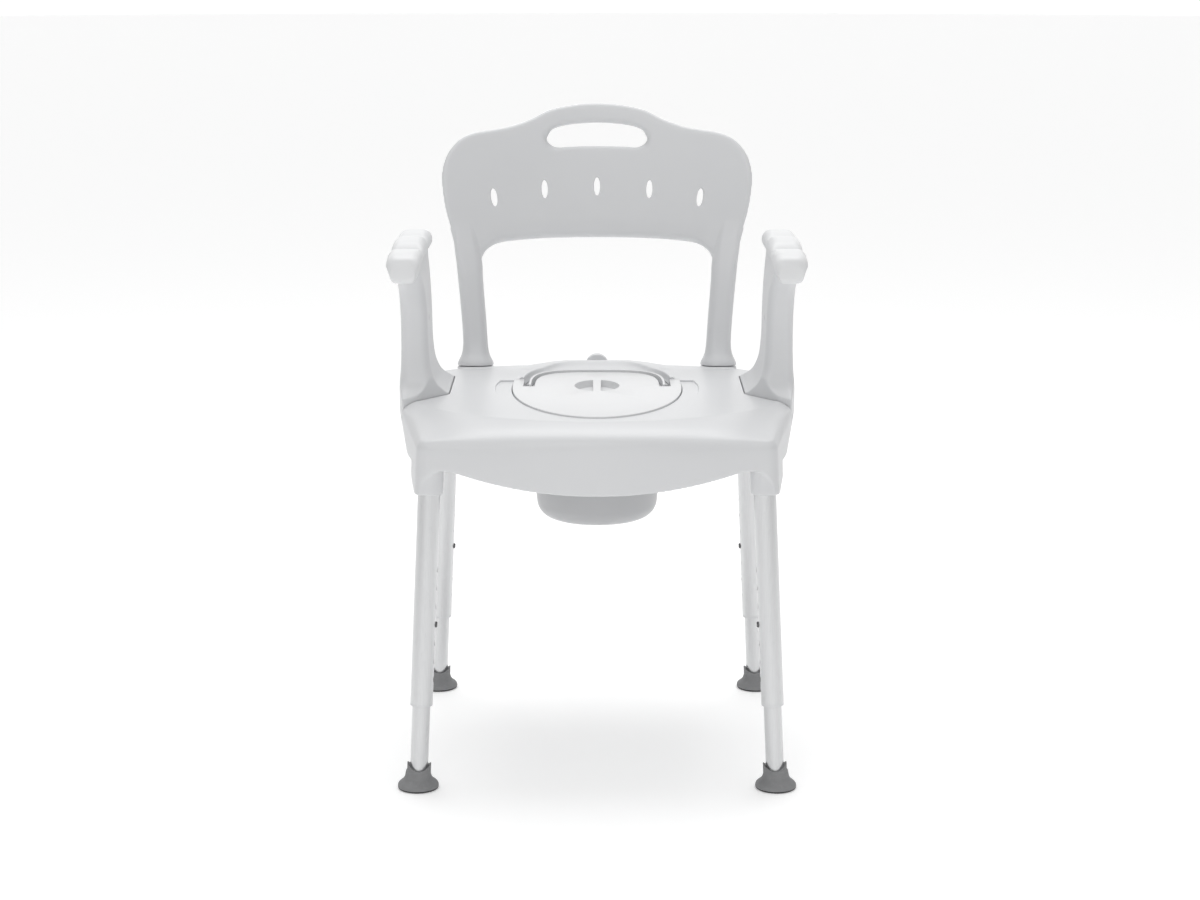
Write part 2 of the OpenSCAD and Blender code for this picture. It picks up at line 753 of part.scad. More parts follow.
// A flat spring bent into a U, its two leaves against the inner tube's wall
module leaf_spring() {
    color(steel) translate([0, spring_w / 2, 0]) rotate([90, 0, 0]) linear_extrude(spring_w) {
        for (sx = [-1, 1])
            translate([sx * leaf - spring_t / 2, button_s - 30]) square([spring_t, 40]);
        translate([0, button_s - 30]) difference() {
            circle(r = leaf + spring_t / 2);
            circle(r = leaf - spring_t / 2);
            translate([-20, 0]) square(40);
        }
    }
}

module leg_screws() {
    color(steel) for (sx = [-1, 1], sy = [-1, 1]) at_leg(sx, sy) inward(screw_s) {
        translate([0, 0, tube_r - tube_wall - 3]) cylinder(r = screw_r, h = sleeve_wall + 6);
        translate([0, 0, sleeve_r - 0.5]) cylinder(r = 2 * screw_r, h = 2.4);
    }
}

// ---- what is drawn -------------------------------------------------------------------------

seat();
backrest();
color(white) at_seat() mirror([1, 0, 0]) armrest();  // armrest_left
color(white) at_seat() armrest();  // armrest_right
color(light) at_seat() mirror([1, 0, 0]) armrest_pad();  // armrest_left_pad
color(light) at_seat() armrest_pad();  // armrest_right_pad
color(light) at_seat() mirror([1, 0, 0]) armrest_plug();  // armrest_left_plug
color(light) at_seat() armrest_plug();  // armrest_right_plug
lid();
pan();
pan_bail();
leg_screws();
at_leg(-1, -1) outer_tube();  // leg_front_left_outer_tube
at_leg(1, -1) outer_tube();  // leg_front_right_outer_tube
at_leg(-1, 1) outer_tube();  // leg_rear_left_outer_tube
at_leg(1, 1) outer_tube();  // leg_rear_right_outer_tube
at_leg(-1, -1) bushing();  // leg_front_left_bushing
at_leg(1, -1) bushing();  // leg_front_right_bushing
at_leg(-1, 1) bushing();  // leg_rear_left_bushing
at_leg(1, 1) bushing();  // leg_rear_right_bushing
at_leg(-1, -1) inner_tube();  // leg_front_left_inner_tube
at_leg(1, -1) inner_tube();  // leg_front_right_inner_tube
at_leg(-1, 1) inner_tube();  // leg_rear_left_inner_tube
at_leg(1, 1) inner_tube();  // leg_rear_right_inner_tube
foot(-1, -1);  // leg_front_left_foot
foot(1, -1);  // leg_front_right_foot
foot(-1, 1);  // leg_rear_left_foot
foot(1, 1);  // leg_rear_right_foot
at_leg(-1, -1) snap_button();  // leg_front_left_button
at_leg(1, -1) snap_button();  // leg_front_right_button
at_leg(-1, 1) snap_button();  // leg_rear_left_button
at_leg(1, 1) snap_button();  // leg_rear_right_button
at_leg(-1, -1) leaf_spring();  // leg_front_left_spring
at_leg(1, -1) leaf_spring();  // leg_front_right_spring
at_leg(-1, 1) leaf_spring();  // leg_rear_left_spring
at_leg(1, 1) leaf_spring();  // leg_rear_right_spring
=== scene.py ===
import json
import math

import bmesh
import bpy
from mathutils import Matrix, Vector


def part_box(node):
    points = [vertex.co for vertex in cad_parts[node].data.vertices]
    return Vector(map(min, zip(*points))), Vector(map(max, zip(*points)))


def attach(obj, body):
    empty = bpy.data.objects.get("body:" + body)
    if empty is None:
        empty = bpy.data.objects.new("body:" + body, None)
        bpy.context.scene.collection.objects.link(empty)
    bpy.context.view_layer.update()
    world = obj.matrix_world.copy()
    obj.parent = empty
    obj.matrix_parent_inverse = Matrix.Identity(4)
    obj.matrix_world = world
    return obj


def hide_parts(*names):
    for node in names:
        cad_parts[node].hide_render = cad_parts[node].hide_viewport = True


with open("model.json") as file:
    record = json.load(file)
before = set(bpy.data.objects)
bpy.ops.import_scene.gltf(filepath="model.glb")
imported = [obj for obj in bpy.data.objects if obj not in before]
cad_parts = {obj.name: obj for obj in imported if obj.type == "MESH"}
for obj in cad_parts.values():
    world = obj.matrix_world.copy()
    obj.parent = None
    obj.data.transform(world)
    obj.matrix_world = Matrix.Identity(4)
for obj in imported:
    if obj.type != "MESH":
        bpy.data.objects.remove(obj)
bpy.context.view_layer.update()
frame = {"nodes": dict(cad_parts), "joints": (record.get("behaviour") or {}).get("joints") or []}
nodes = frame["nodes"]
jointOf = {joint["name"]: joint for joint in frame["joints"]}
legNames = ["front_left", "front_right", "rear_left", "rear_right"]


def middle(node):
    low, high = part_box(node)
    return (low + high) / 2


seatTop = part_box("lid")[1].z
midY = (middle("leg_front_left_foot").y + middle("leg_rear_left_foot").y) / 2
mm = 0.001
print("frame loaded, seat top at", round(seatTop, 4))


# ---- making and joining meshes


def asPiece(bm, name):
    mesh = bpy.data.meshes.new(name)
    bm.to_mesh(mesh)
    bm.free()
    piece = bpy.data.objects.new(name, mesh)
    bpy.context.scene.collection.objects.link(piece)
    return piece


def settle(piece):  # applies what modifiers it has
    graph = bpy.context.evaluated_depsgraph_get()
    finished = bpy.data.meshes.new_from_object(piece.evaluated_get(graph))
    old = piece.data
    piece.modifiers.clear()
    piece.data = finished
    bpy.data.meshes.remove(old)
    finished.name = piece.name
    return piece


def combine(piece, tool, operation="DIFFERENCE"):
    change = piece.modifiers.new("combine", "BOOLEAN")
    change.solver = "MANIFOLD"
    change.operation = operation
    change.object = tool
    settle(piece)
    bpy.data.objects.remove(tool)
    return piece


def cut(piece, tool):
    return combine(piece, tool)


def add(piece, tool):
    return combine(piece, tool, "UNION")


def keepInside(piece, tool):
    return combine(piece, tool, "INTERSECT")


def soften(piece, voxel, rounds, triangles):  # one skin with rounded edges, then only as dense as it needs
    skin = piece.modifiers.new("skin", "REMESH")
    skin.mode = "VOXEL"
    skin.voxel_size = voxel
    settle(piece)
    if rounds:
        relax = piece.modifiers.new("relax", "SMOOTH")
        relax.factor = 0.5
        relax.iterations = rounds
        settle(piece)
    count = len(piece.data.polygons) * 2
    if count > triangles:
        thin = piece.modifiers.new("thin", "DECIMATE")
        thin.ratio = triangles / count
        settle(piece)
    return piece


def shadeSmooth(piece, angle=35):
    bm = bmesh.new()
    bm.from_mesh(piece.data)
    limit = math.radians(angle)
    for face in bm.faces:
        face.smooth = True
    for edge in bm.edges:
        edge.smooth = len(edge.link_faces) == 2 and edge.calc_face_angle(0) < limit
    bm.to_mesh(piece.data)
    bm.free()
    return piece


def ringEdges(bm, ring):
    found = []
    for here, after in zip(ring, ring[1:] + ring[:1]):
        found.append(bm.edges.get((here, after)))
    return found


def growRing(bm, ring, places):  # extrudes a ring of vertices to its next places
    grown = bmesh.ops.extrude_edge_only(bm, edges=ringEdges(bm, ring))["geom"]
    fresh = {item for item in grown if isinstance(item, bmesh.types.BMVert)}
    nextRing = []
    for vert in ring:
        nextRing.append(next(e.other_vert(vert) for e in vert.link_edges if e.other_vert(vert) in fresh))
    for vert, place in zip(nextRing, places):
        vert.co = place
    return nextRing


def loftInto(bm, rings):
    ring = bmesh.ops.create_circle(bm, segments=len(rings[0]), radius=1, cap_ends=True)["verts"]
    for vert, place in zip(ring, rings[0]):
        vert.co = place
    for places in rings[1:]:
        ring = growRing(bm, ring, places)
    bmesh.ops.contextual_create(bm, geom=ringEdges(bm, ring))
    bmesh.ops.recalc_face_normals(bm, faces=bm.faces)
    return bm


def loft(name, rings):
    return asPiece(loftInto(bmesh.new(), rings), name)


def hullOf(name, rings):
    bm = bmesh.new()
    for ring in rings:
        made = bmesh.ops.create_circle(bm, segments=len(ring), radius=1)["verts"]
        for vert, place in zip(made, ring):
            vert.co = place
    hull = bmesh.ops.convex_hull(bm, input=bm.verts)
    spare = {v for v in hull["geom_interior"] + hull["geom_unused"] if isinstance(v, bmesh.types.BMVert)}
    bmesh.ops.delete(bm, geom=list(spare), context="VERTS")
    loose = [edge for edge in bm.edges if not edge.link_faces]
    bmesh.ops.delete(bm, geom=loose, context="EDGES")
    bmesh.ops.recalc_face_normals(bm, faces=bm.faces)
    return asPiece(bm, name)


def rod(name, start, end, radius, segments=64):
    start, end = Vector(start), Vector(end)
    turn = (end - start).to_track_quat("Z", "Y").to_matrix().to_4x4()
    place = Matrix.Translation((start + end) / 2) @ turn
    bm = bmesh.new()
    bmesh.ops.create_cone(bm, cap_ends=True, segments=segments, radius1=radius, radius2=radius,
        depth=(end - start).length, matrix=place)
    return asPiece(bm, name)


def block(name, low, high):
    low, high = Vector(low), Vector(high)
    bm = bmesh.new()
    bmesh.ops.create_cube(bm, size=1,
        matrix=Matrix.Translation((low + high) / 2) @ Matrix.Diagonal((*(high - low), 1)))
    return asPiece(bm, name)


def turned(name, profile, centre, steps=64):  # spins a closed outline of (radius, height) in millimetres
    bm = bmesh.new()
    verts = [bm.verts.new((centre[0] + r * mm, centre[1], centre[2] + z * mm)) for r, z in profile]
    closed = list(zip(verts, verts[1:] + verts[:1]))
    edges = [bm.edges.new(pair) for pair in closed if max(abs(v.co.x - centre[0]) for v in pair) > 1e-7]
    bmesh.ops.spin(bm, geom=verts + edges, cent=centre, axis=(0, 0, 1), angle=math.tau, steps=steps,
        use_merge=True)
    bmesh.ops.remove_doubles(bm, verts=bm.verts, dist=1e-6)
    bmesh.ops.recalc_face_normals(bm, faces=bm.faces)
    return asPiece(bm, name)


def curveThrough(points, steps=6, closed=False):  # a smooth line through points of any size
    count = len(points)
    line = []
    for i in range(count if closed else count - 1):
        near = [points[k % count if closed else min(max(k, 0), count - 1)] for k in range(i - 1, i + 3)]
        for s in range(steps):
            t = s / steps
            weights = ((-t + 2 * t * t - t**3) / 2, (2 - 5 * t * t + 3 * t**3) / 2,
                (t + 4 * t * t - 3 * t**3) / 2, (-t * t + t**3) / 2)
            line.append(tuple(sum(w * p[k] for w, p in zip(weights, near)) for k in range(len(points[0]))))
    if not closed:
        line.append(tuple(points[-1]))
    return line


def softBox(low, high, radius, z, arc=8):  # a rounded rectangle in millimetres, in the seat's frame
    ring = []
    corners = ((high[0] - radius, high[1] - radius, 0), (low[0] + radius, high[1] - radius, 90),
        (low[0] + radius, low[1] + radius, 180), (high[0] - radius, low[1] + radius, 270))
    for cx, cy, start in corners:
        for k in range(arc + 1):
            a = math.radians(start + 90 * k / arc)
            ring.append(atSeat(cx + radius * math.cos(a), cy + radius * math.sin(a), z))
    return ring


def atSeat(x, y, z):  # millimetres from the middle of the seat's top
    return Vector((x * mm, midY + y * mm, seatTop + z * mm))


def uprightRod(name, x, y, low, high, radius):  # a round bar that stands in the seat's frame, in millimetres
    return rod(name, atSeat(x, y, low), atSeat(x, y, high), radius * mm)


def egg(half, front, rear, frontPower, rearPower, centre, z, count=96):
    ring = []
    for i in range(count):
        a = math.tau * (i + 0.5) / count
        c, s = math.cos(a), math.sin(a)
        power, reach = (rearPower, rear) if s > 0 else (frontPower, front)
        x = half * math.copysign(abs(c) ** (2 / power), c)
        ring.append(atSeat(x, centre + reach * math.copysign(abs(s) ** (2 / power), s), z))
    return ring


# ---- seat

seatForm = {
    "halfWidth": 275, "halfDepth": 246, "wall": 4, "depth": 97,
    "widestY": 25,
    "frontRoll": 39, "rearRoll": 16, "rollDepth": 35,
    "sideRoll": 13, "sideRollDepth": 12, "sideTuck": 19, "tuckDepth": 46, "sideMost": 34,
    "bows": ((0, 420, 900, 556), (12, 700, 900, 700), (35, 1150, 1200, 889), (97, 1150, 1200, 3000)),
    "squareness": ((0, 10), (12, 13), (35, 16), (97, 18)),
    "sleeve": 18.5, "pillar": 20, "bore": 15.1, "tubeEnd": 37,
    "apronDepth": 92, "apronArc": 637, "apronEnd": 63, "notch": 28, "skirtDepth": 60, "collarY": 172,
    "apronReach": 204.5, "sleeveLow": 96.6, "sleeveTop": 5, "tubeLow": 130,
    "tabRadius": 17, "tabIn": 6, "tabOut": 7, "tabZ": -4, "tabLow": -24,
    # low corner, high corner, corner radius and height of each level of the raised rear edge
    "crest": (((-132, 166), (132, 202), 10, -5), ((-112, 180), (112, 216), 12, 0.5),
        ((-72, 194), (72, 226), 14, 5.2), ((-52, 204), (52, 225), 10, 7)),
    "voxel": 0.0016, "rounds": 5, "triangles": 150000,
}
opening = {
    "y": 50, "half": 120, "front": 173, "rear": 183, "slot": 104, "hornY": 106, "ledge": 9, "ledgeTop": -11.8,
    "ringWidth": 23, "ringStep": 2.2, "lip": 0.8,
    "ringTrim": 0.7, "ringFront": 28, "ringRear": 160,
    "ledgeUnder": -15.8, "ledgeOver": -9, "ledgeWall": 3,
    # growth, rear and height of each level of what carries the scooped wall, then of the scoop itself
    "carrier": ((0, 187, 0), (0.3, 195, 4), (0.6, 206, 9)), "carrierLow": -12.5,
    "scoop": ((0, 183, -8.5, 3.5), (0.25, 191, -6.6, 3.3), (0.5, 200, -3.6, 3.1), (0.75, 210, 1, 2.9),
        (1, 222, 9.5, 2.6)),
}
spot = {
    "postX": 179, "backY": 217, "lean": 6, "boss": 27, "bossDepth": 53, "spigot": 12.3, "spigotDepth": 51,
    "tongueX": 244, "tongueYs": (4, 102), "socket": 13, "socketLow": -59, "bore": 9.3, "boreLow": -56,
    "boreTop": -20,
}
pocket = {"inner": 205, "outer": 276, "front": -76, "rear": 132, "floor": -25}


def between(table, depth):  # reads a table of (depth, values...) at any depth
    for upper, lower in zip(table, table[1:]):
        if depth <= lower[0]:
            t = (depth - upper[0]) / (lower[0] - upper[0])
            return [a + (b - a) * t for a, b in zip(upper[1:], lower[1:])]
    return list(table[-1][1:])


def shellRing(depth, inset=0, z=None):
    s = seatForm
    roll = max(0, 1 - depth / s["rollDepth"]) ** 3.4
    front = s["halfDepth"] - s["frontRoll"] * roll - inset
    rear = s["halfDepth"] - s["rearRoll"] * roll - inset
    tuck = max(0, depth - s["sideRollDepth"]) / s["tuckDepth"]
    side = s["sideRoll"] * max(0, 1 - depth / s["sideRollDepth"]) ** 2.2
    half = s["halfWidth"] - side - min(s["sideMost"], s["sideTuck"] * tuck**2) - inset
    frontBow, rearBow, sideBow = between(s["bows"], depth)
    power = between(s["squareness"], depth)[0]
    corner = 0.5 ** (1 / power)
    steps = [math.sin(math.pi / 2 * k / 11) * corner for k in range(12)]
    quarter = [((1 - t**power) ** (1 / power), t) for t in steps]
    quarter += [(t, (1 - t**power) ** (1 / power)) for t in reversed(steps[:-1])]
    unit = []
    for turn in range(4):
        for a, b in quarter[:-1]:
            unit.append(((a, b), (-b, a), (-a, -b), (b, -a))[turn])
    ring = []
    for a, b in unit:
        reach, bow = (front, frontBow) if b < 0 else (rear, rearBow)
        x = a * (half - (b * reach - s["widestY"]) ** 2 / 2 / sideBow)
        ring.append(atSeat(x, b * (reach - (a * half) ** 2 / 2 / bow), -depth if z is None else z))
    return ring


legAxis = {name: Vector(jointOf[f"leg_{name}_slide"]["axis"]).normalized() for name in legNames}


def onLeg(name, height):  # where a leg's axis is at a height above the floor
    foot = middle(f"leg_{name}_foot")
    return Vector((foot.x, foot.y, 0)) + legAxis[name] * (height / legAxis[name].z)


def legRings(radius, heights, count=48):
    rings = []
    for name in legNames:
        for height in heights:
            centre = onLeg(name, height)
            rings.append([centre + Vector((math.cos(math.tau * i / count), math.sin(math.tau * i / count), 0))
                * radius * mm for i in range(count)])
    return rings


def seatShell(name, inset=0, top=0, bottom=97, pillars=False):
    depths = [0, 0.7, 1.6, 2.8, 4.3, 6, 8, 10.5, 13.5, 17, 21, 25.5, 30, 35, 42, 50, 58, 66, 75, 86, 97]
    rings = [shellRing(d, inset, -d - top) for d in depths]
    rings.append(shellRing(97, inset, -bottom))
    if pillars:
        low, high = seatTop - 96 * mm, seatTop - 34 * mm
        rings += legRings(seatForm["pillar"], (low, high))
        rings += legRings(seatForm["pillar"] - 1.5, (high + 4.5 * mm,))
        rings += legRings(seatForm["pillar"] - 5, (high + 10 * mm,))
    return hullOf(name, rings)


def openingOutline(inset, z):  # full width in front, slot width behind
    o = opening
    front, rear = o["front"] + o["y"], o["rear"] - o["y"]
    wide = egg(o["half"] - inset, front - inset, front, 2, 2, o["y"], z)
    narrow = egg(o["slot"] - inset, front - inset, rear - inset, 2, 3.5, o["y"], z)
    return wide, narrow


def openingTool(name, inset, low, high, flare=0):
    o = opening
    heights = ((low, 0), (high - flare - 0.4, 0), (high - 0.4, flare), (high + 8, flare * 2))
    outlines = [openingOutline(inset - grow, z) for z, grow in heights]
    wide, narrow = [loft(f"{name}{k}", rings) for k, rings in enumerate(zip(*outlines))]
    keepInside(wide, block("front", atSeat(-200, -300, low - 1), atSeat(200, o["hornY"] - inset, high + 9)))
    return add(wide, narrow)


def pocketTool(name, side, low, high, gap):
    p = pocket
    outline = [(p["inner"] - gap, p["rear"] + gap), (p["inner"] - gap, p["front"] + 66 - gap / 2),
        (p["inner"] + 40 - gap / 2, p["front"] + 15 - gap), (p["outer"] + 12, p["front"] - gap - 4),
        (p["outer"] + 12, p["rear"] + gap)]
    bm = bmesh.new()
    face = bm.faces.new([bm.verts.new(atSeat(side * x, y, low)) for x, y in outline])
    grown = bmesh.ops.extrude_face_region(bm, geom=[face])["geom"]
    raised = [v for v in grown if isinstance(v, bmesh.types.BMVert)]
    bmesh.ops.translate(bm, verts=raised, vec=(0, 0, (high - low) * mm))
    upright = [e for e in bm.edges if abs(e.verts[0].co.z - e.verts[1].co.z) > 1e-4]
    bmesh.ops.bevel(bm, geom=upright, offset=7 * mm, offset_type="OFFSET", segments=5, profile=0.5,
        affect="EDGES", material=-1, clamp_overlap=True)
    bmesh.ops.recalc_face_normals(bm, faces=bm.faces)
    return asPiece(bm, name)


def makeSeat():
    s, o = seatForm, opening
    seat = seatShell("seatShell", pillars=True)
    cut(seat, seatShell("hollow", inset=s["wall"], top=s["wall"], bottom=s["depth"] + 8))
    # aprons arched along their lower edges, skirts shorter, and rounded notches beside the sleeves
    reach, below = s["apronReach"], -s["depth"] - 3
    hem = block("hem", atSeat(-reach, -300, below), atSeat(reach, 300, -s["apronEnd"]))
    archZ = s["apronArc"] - s["apronDepth"]
    cut(hem, rod("arch", atSeat(0, -310, archZ), atSeat(0, 310, archZ), s["apronArc"] * mm, segments=720))
    cut(seat, hem)
    collarY = s["collarY"]
    cut(seat, block("skirts", atSeat(-300, -collarY, below), atSeat(300, collarY, -s["skirtDepth"])))
    for side in (-1, 1):
        notchZ = -s["apronEnd"] - s["notch"]
        x = side * reach
        cut(seat, rod("notch", atSeat(x, -300, notchZ), atSeat(x, 300, notchZ), s["notch"] * mm))
        edges = sorted((side * (reach - s["notch"]), side * (reach + s["notch"])))
        cut(seat, block("below", atSeat(edges[0], -300, below), atSeat(edges[1], 300, notchZ)))
    # what stands under the skin, and the raised parts behind the opening
    works = None
    for name in legNames:
        low, high = seatTop - s["sleeveLow"] * mm, seatTop - s["sleeveTop"] * mm
        sleeve = rod("sleeve", onLeg(name, low), onLeg(name, high), s["sleeve"] * mm)
        works = sleeve if works is None else add(works, sleeve)
    for side in (-1, 1):
        add(works, pocketTool("pocketWall", side, pocket["floor"] - 8, 0, 5))
        for y in spot["tongueYs"]:
            x = side * spot["tongueX"]
            add(works, uprightRod("socket", x, y, spot["socketLow"], spot["boreTop"], spot["socket"]))
    keepInside(works, seatShell("envelope", pillars=True))
    add(seat, works)
    add(seat, hullOf("crest", [softBox(*level) for level in s["crest"]]))
    rings = [egg(o["slot"] + 4 + 3 * t, 30, y - o["y"] + 3, 2, 3.2, o["y"], o["carrierLow"] + z)
        for t, y, z in o["carrier"]]
    add(seat, loft("carrier", rings + [egg(o["slot"] + 7, 30, 176, 2, 2.8, o["y"], 3)]))
    near, far = s["halfDepth"] - s["tabIn"], s["halfDepth"] + s["tabOut"]
    add(seat, rod("tab", atSeat(0, near, s["tabZ"]), atSeat(0, far, s["tabZ"]), s["tabRadius"] * mm))
    half = s["tabRadius"]
    add(seat, block("tabFoot", atSeat(-half, near, s["tabLow"]), atSeat(half, far, s["tabZ"])))
    lean = math.radians(spot["lean"])
    down = Vector((0, -math.sin(lean), -math.cos(lean)))
    for side in (-1, 1):
        top = atSeat(side * spot["postX"], spot["backY"], -0.3)
        add(seat, rod("boss", top + down * spot["bossDepth"] * mm, top, spot["boss"] * mm))
    add(seat, openingTool("ledgeRim", -o["ledgeWall"], o["ledgeUnder"], o["ledgeOver"]))
    # the scooped wall that rises behind the bail
    rings = [egg(o["slot"] + 3 * t, 1, y - o["y"], 2, power, o["y"], z) for t, y, z, power in o["scoop"]]
    cut(seat, loft("scoop", rings))
    soften(seat, s["voxel"], s["rounds"], s["triangles"])
    print("seat skin has", len(seat.data.polygons), "faces")
    # crisp cuts: step ring, well, pockets and bores
    half, front = o["half"] + o["ringWidth"] - o["ringTrim"], o["front"] + o["y"] + o["ringFront"]
    step = loft("step", [egg(half + grow, front + grow, o["ringRear"] + grow, 2, 2, o["y"], z)
        for z, grow in ((-o["ringStep"], 0), (-o["ringStep"] + 0.9, 0.25), (-0.25, 0.9), (9, 1.6))])
    keepInside(step, block("front", atSeat(-200, -300, -5), atSeat(200, o["hornY"] - 10, 10)))
    cut(seat, step)
    cut(seat, openingTool("well", 0, o["ledgeTop"], -o["ringStep"] + 0.4, o["lip"]))
    cut(seat, openingTool("hole", o["ledge"], -100, o["ledgeOver"]))
    for side in (-1, 1):
        cut(seat, pocketTool("pocket", side, pocket["floor"], 35, 1))
        for y in spot["tongueYs"]:
            x = side * spot["tongueX"]
            cut(seat, uprightRod("socketBore", x, y, spot["boreLow"], spot["boreTop"], spot["bore"]))
        top = atSeat(side * spot["postX"], spot["backY"], 0)
        low = top + down * spot["spigotDepth"] * mm
        cut(seat, rod("spigotBore", low, top - down * 3 * mm, spot["spigot"] * mm))
    for name in legNames:
        low, high = seatTop - s["tubeLow"] * mm, seatTop - s["tubeEnd"] * mm
        cut(seat, rod("tubeBore", onLeg(name, low), onLeg(name, high), s["bore"] * mm))
    return shadeSmooth(seat)


seat = makeSeat()
print("seat", len(seat.data.polygons), "faces")


# ---- backrest

# the right half of the panel's outline, from its top round to its lower edge
backForm = {
    "outline": ((0, 386), (36, 383.5), (70, 376), (95, 363.5), (124, 353), (149, 348), (178, 343), (199, 334),
        (215, 318), (224, 300), (228, 278), (226.5, 252), (222, 226), (215, 200), (209, 176), (205.5, 160),
        (200, 146), (174, 146), (169, 160), (162.5, 170), (149, 178.5), (130, 182.5), (86, 186.3),
        (40, 187.7), (0, 188)),
    "front": -2.5, "rear": 14.5, "skin": 5, "rim": 14, "roll": 8,
    "bow": 900, "bendFrom": 20, "bendOver": 120, "lowEdge": 188, "lowRim": 15, "lowArc": 1660,
    "lipHeight": 32, "lipDepth": 8, "lipHalf": 172, "lipFade": 26,
    # height, step outward, half width, front, rear and corner radius at each level of a post
    "posts": ((0.5, 0, 26.8, -26.8, 26.8, 26.5), (4, 0, 26.4, -26.4, 26.4, 26), (8, 0, 25, -25, 25, 24.6),
        (13, 0, 22.4, -22, 22, 21.6), (19, 0, 20.2, -18.4, 18.4, 17), (27, 0, 18.8, -15.8, 15.8, 13.5),
        (40, 0.4, 18.1, -14.4, 14.4, 12.5), (70, 2.2, 18, -14, 14, 12.5), (100, 4.6, 18, -13.6, 14, 12.5),
        (130, 7, 18.3, -12.4, 14, 12), (152, 8.6, 18.8, -10.6, 14, 11), (180, 13, 17.8, -7, 13.5, 9),
        (215, 18, 14, -2.4, 9, 5), (245, 21, 9, -1.6, 3.6, 2.4), (262, 22.5, 5, -1.2, 1.6, 1.3)),
    "slotHalf": 74, "slotTop": 356, "slotLow": 321, "slotEdge": 7, "slotRim": 9,
    "drains": ((0, 263, 0), (77, 259, 2), (151, 247, 8)), "drainHalf": (4.5, 13),
    "drainSteps": ((-3, 1.6), (-0.2, 0.9), (0.5, 0.3), (1.2, 0), (3.6, 0), (5.5, 0.8), (20, 2)),
    "spigot": 12, "spigotLength": 50,
    "voxel": 0.0015, "rounds": 7, "triangles": 130000,
}


def standing(points, y):  # a front view's (x, height) points as a ring at one depth
    return [atSeat(x, y, z) for x, z in points]


def bothSides(points):
    return list(points) + [(-x, z) for x, z in reversed(points) if x > 0]


def panelSlab(name, front, rear, inset, roll=0):
    b = backForm
    outline = curveThrough(bothSides(b["outline"]), steps=4, closed=True)
    bm = bmesh.new()
    face = bm.faces.new([bm.verts.new(p) for p in standing(outline, front)])
    if inset:
        bmesh.ops.inset_region(bm, faces=[face], thickness=inset * mm, use_even_offset=True,
            use_boundary=True)
        bmesh.ops.delete(bm, geom=[f for f in bm.faces if f is not face], context="FACES")
    grown = bmesh.ops.extrude_face_region(bm, geom=[face])["geom"]
    moved = [v for v in grown if isinstance(v, bmesh.types.BMVert)]
    bmesh.ops.translate(bm, verts=moved, vec=(0, (rear - front) * mm, 0))
    bmesh.ops.recalc_face_normals(bm, faces=bm.faces)
    if roll:
        rim = [e for e in bm.edges if all(abs(v.co.y - (midY + front * mm)) < 1e-6 for v in e.verts)]
        bmesh.ops.bevel(bm, geom=rim, offset=roll * mm, offset_type="OFFSET", segments=8, profile=0.5,
            affect="EDGES", material=-1, clamp_overlap=False)
    return asPiece(bm, name)


def carrySlot(grow):
    b = backForm
    half, top, low = b["slotHalf"] + grow, b["slotTop"] + grow, b["slotLow"] - grow
    right = [(0, top), (28, top - 1.4), (46, top - 3.8), (57, top - 6.4), (67, top - 11),
        (half - 2, top - 19), (half, top - 24), (half - 3, low + 5.5), (half - 10, low + 0.6),
        (half - 19, low - 1), (40, low + 0.2), (0, low + 1)]
    return curveThrough(bothSides(right), steps=4, closed=True)


def drainOutline(x, v, tilt, grow):
    cos, sin = math.cos(math.radians(tilt)), math.sin(math.radians(tilt))
    wide, tall = backForm["drainHalf"]
    outline = []
    for i in range(48):
        px = (wide + grow) * math.cos(math.tau * i / 48)
        pz = (tall + grow) * math.sin(math.tau * i / 48)
        outline.append((x + px * cos - pz * sin, v + px * sin + pz * cos))
    return outline


